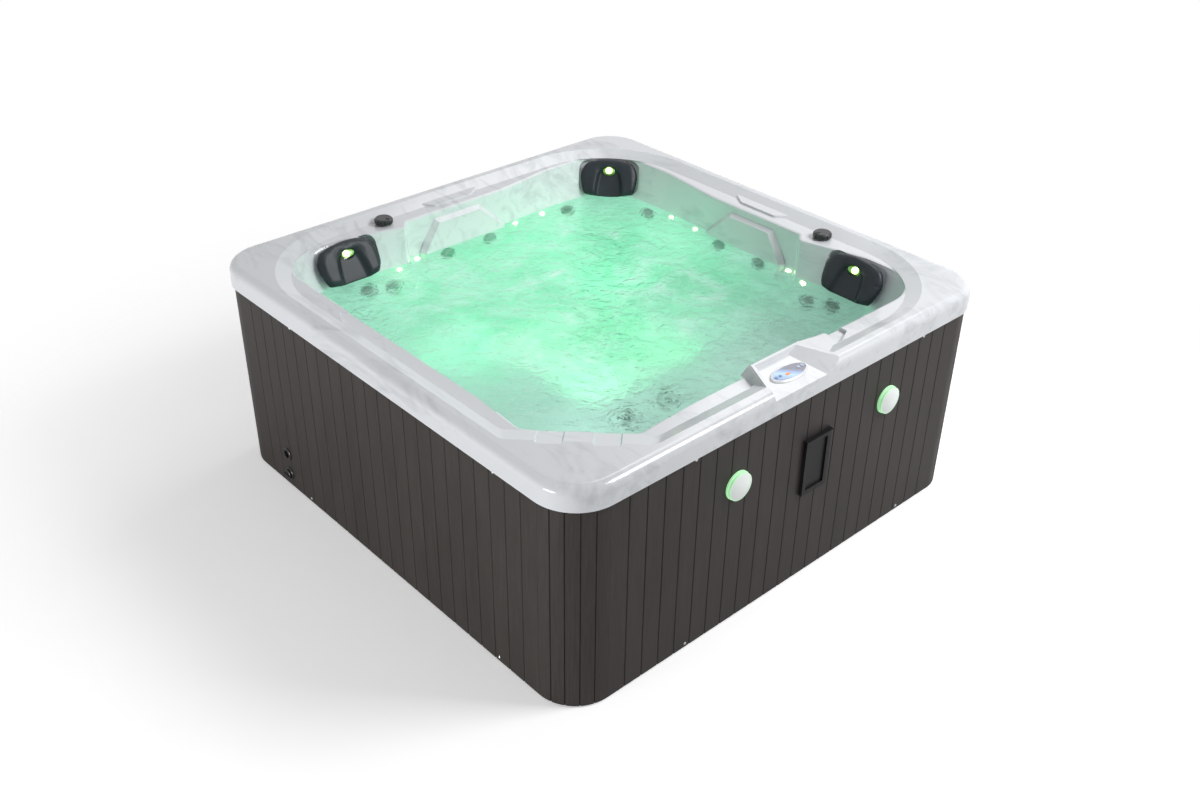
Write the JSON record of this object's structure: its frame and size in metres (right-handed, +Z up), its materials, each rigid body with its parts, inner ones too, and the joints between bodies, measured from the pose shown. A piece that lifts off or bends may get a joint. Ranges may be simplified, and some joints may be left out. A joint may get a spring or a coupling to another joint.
{
  "type": "hot tub",
  "caption": "Square acrylic hot tub with a stepped rim, moulded seats, headrests, jets and lights in a slatted cabinet.",
  "frame": {"origin": "middle of the foot, on the floor", "axes": "+Z up, -Y towards the side with the control panel, +X to the right seen from there"},
  "size_m": [2.011, 2.022, 0.854],
  "materials": {
    "shell": "gloss marbled acrylic",
    "cabinet": "fine upright wood grain",
    "pan": "matte",
    "frame_timber": "planed",
    "screw_steel": "satin",
    "pillow": "satin moulded foam",
    "black_plastic": "satin",
    "white_plastic": "gloss",
    "blue_face": "gloss film",
    "button_plastic": "satin",
    "glow_ring": "clear",
    "frosted_lens": "frosted",
    "light_lens": "clear",
    "jet_plastic": "satin",
    "pvc": "satin",
    "pump_paint": "satin",
    "pump_plastic": "matte",
    "heater_steel": "brushed",
    "box_plastic": "matte",
    "filter_fabric": "pleated",
    "foam": "foam"
  },
  "bodies": {
    "tub": {"air_blower": "pump_plastic", "air_pipes": "pvc", "base_pan": "pan", "cabinet_screws": "screw_steel", "control_box": "box_plastic", "control_face": "blue_face", "control_housing": "white_plastic", "corner_back_left": "cabinet", "corner_back_right": "cabinet", "corner_front_left": "cabinet", "corner_front_right": "cabinet", "diverter_valves": "pvc", "drain_outlet": "black_plastic", "filter_canister": "pvc", "filter_cartridge": "filter_fabric", "filter_cover": "white_plastic", "floor_drain": "white_plastic", "footwell_block": "foam", "heater": "heater_steel", "jet_bodies": "jet_plastic", "lamp_bases": "glow_ring", "lamp_lenses": "frosted_lens", "main_light_body": "white_plastic", "main_light_lens": "light_lens", "panel_back": "cabinet", "panel_front": "cabinet", "panel_left": "cabinet", "panel_right": "cabinet", "pillow_back": "pillow", "pillow_left": "pillow", "pillow_lights": "light_lens", "pillow_right": "pillow", "power_inlet": "black_plastic", "pump_motor": "pump_paint", "pump_wet_end": "pump_plastic", "shell": "shell", "suction_covers": "white_plastic", "support_frame": "frame_timber", "vent_cover": "black_plastic", "water_pipes": "pvc", "waterline_lights": "light_lens"},
    "knob_back": {"knob_back": "black_plastic"},
    "knob_right": {"knob_right": "black_plastic"},
    "button_1": {"button_1": "button_plastic"},
    "button_2": {"button_2": "button_plastic"},
    "button_3": {"button_3": "button_plastic"},
    "button_4": {"button_4": "button_plastic"},
    "drain_cap": {"drain_cap": "black_plastic"},
    "jet_face_1": {"jet_face_1": "jet_plastic"},
    "jet_face_2": {"jet_face_2": "jet_plastic"},
    "jet_face_3": {"jet_face_3": "jet_plastic"},
    "jet_face_4": {"jet_face_4": "jet_plastic"},
    "jet_face_5": {"jet_face_5": "jet_plastic"},
    "jet_face_6": {"jet_face_6": "jet_plastic"},
    "jet_face_7": {"jet_face_7": "jet_plastic"},
    "jet_face_8": {"jet_face_8": "jet_plastic"},
    "jet_face_9": {"jet_face_9": "jet_plastic"},
    "jet_face_10": {"jet_face_10": "jet_plastic"},
    "jet_face_11": {"jet_face_11": "jet_plastic"},
    "jet_face_12": {"jet_face_12": "jet_plastic"}
  },
  "joints": [
    {"name": "turn_knob_back", "type": "hinge", "parent": "tub", "child": "knob_back", "pos_m": [-0.338, 0.868, 0.826], "axis": [0, 0, 1], "range_deg": [0, 180]},
    {"name": "turn_knob_right", "type": "hinge", "parent": "tub", "child": "knob_right", "pos_m": [0.868, -0.338, 0.826], "axis": [0, 0, 1], "range_deg": [0, 180]},
    {"name": "press_button_1", "type": "slide", "parent": "tub", "child": "button_1", "axis": [0, 0.0506, -0.9987], "range_m": [0, 0.001], "stiffness_N_per_m": 800},
    {"name": "press_button_2", "type": "slide", "parent": "tub", "child": "button_2", "axis": [0, 0.0506, -0.9987], "range_m": [0, 0.001], "stiffness_N_per_m": 800},
    {"name": "press_button_3", "type": "slide", "parent": "tub", "child": "button_3", "axis": [0, 0.0506, -0.9987], "range_m": [0, 0.001], "stiffness_N_per_m": 800},
    {"name": "press_button_4", "type": "slide", "parent": "tub", "child": "button_4", "axis": [0, 0.0506, -0.9987], "range_m": [0, 0.001], "stiffness_N_per_m": 800},
    {"name": "turn_drain_cap", "type": "hinge", "parent": "tub", "child": "drain_cap", "pos_m": [-0.991, 0.64, 0.06], "axis": [-1, 0, 0], "range_deg": [0, 270]},
    {"name": "turn_jet_face_1", "type": "hinge", "parent": "tub", "child": "jet_face_1", "pos_m": [0.77041, 0.104, 0.648], "axis": [-0.9707, 0, 0.2404], "range_deg": [0, 90]},
    {"name": "turn_jet_face_2", "type": "hinge", "parent": "tub", "child": "jet_face_2", "pos_m": [0.104, 0.77041, 0.648], "axis": [0, -0.9707, 0.2404], "range_deg": [0, 90]},
    {"name": "turn_jet_face_3", "type": "hinge", "parent": "tub", "child": "jet_face_3", "pos_m": [0.77041, -0.112, 0.648], "axis": [-0.9707, 0, 0.2404], "range_deg": [0, 90]},
    {"name": "turn_jet_face_4", "type": "hinge", "parent": "tub", "child": "jet_face_4", "pos_m": [-0.112, 0.77041, 0.648], "axis": [0, -0.9707, 0.2404], "range_deg": [0, 90]},
    {"name": "turn_jet_face_5", "type": "hinge", "parent": "tub", "child": "jet_face_5", "pos_m": [0.79053, 0.54198, 0.62509], "axis": [-0.9509, -0.0614, 0.3032], "range_deg": [0, 90]},
    {"name": "turn_jet_face_6", "type": "hinge", "parent": "tub", "child": "jet_face_6", "pos_m": [0.54198, 0.79053, 0.62509], "axis": [-0.0614, -0.9509, 0.3032], "range_deg": [0, 90]},
    {"name": "turn_jet_face_7", "type": "hinge", "parent": "tub", "child": "jet_face_7", "pos_m": [0.7438, -0.39502, 0.57507], "axis": [-0.968, -0.0552, 0.2446], "range_deg": [0, 90]},
    {"name": "turn_jet_face_8", "type": "hinge", "parent": "tub", "child": "jet_face_8", "pos_m": [-0.39502, 0.7438, 0.57507], "axis": [-0.0552, -0.968, 0.2446], "range_deg": [0, 90]},
    {"name": "turn_jet_face_9", "type": "hinge", "parent": "tub", "child": "jet_face_9", "pos_m": [0.75718, -0.50502, 0.60008], "axis": [-0.9601, -0.0617, 0.2729], "range_deg": [0, 90]},
    {"name": "turn_jet_face_10", "type": "hinge", "parent": "tub", "child": "jet_face_10", "pos_m": [-0.50502, 0.75718, 0.60008], "axis": [-0.0617, -0.9601, 0.2729], "range_deg": [0, 90]},
    {"name": "turn_jet_face_11", "type": "hinge", "parent": "tub", "child": "jet_face_11", "pos_m": [-0.243, -0.43, 0.43], "axis": [0, 0, 1], "range_deg": [0, 90]},
    {"name": "turn_jet_face_12", "type": "hinge", "parent": "tub", "child": "jet_face_12", "pos_m": [-0.047, -0.43, 0.43], "axis": [0, 0, 1], "range_deg": [0, 90]}
  ]
}
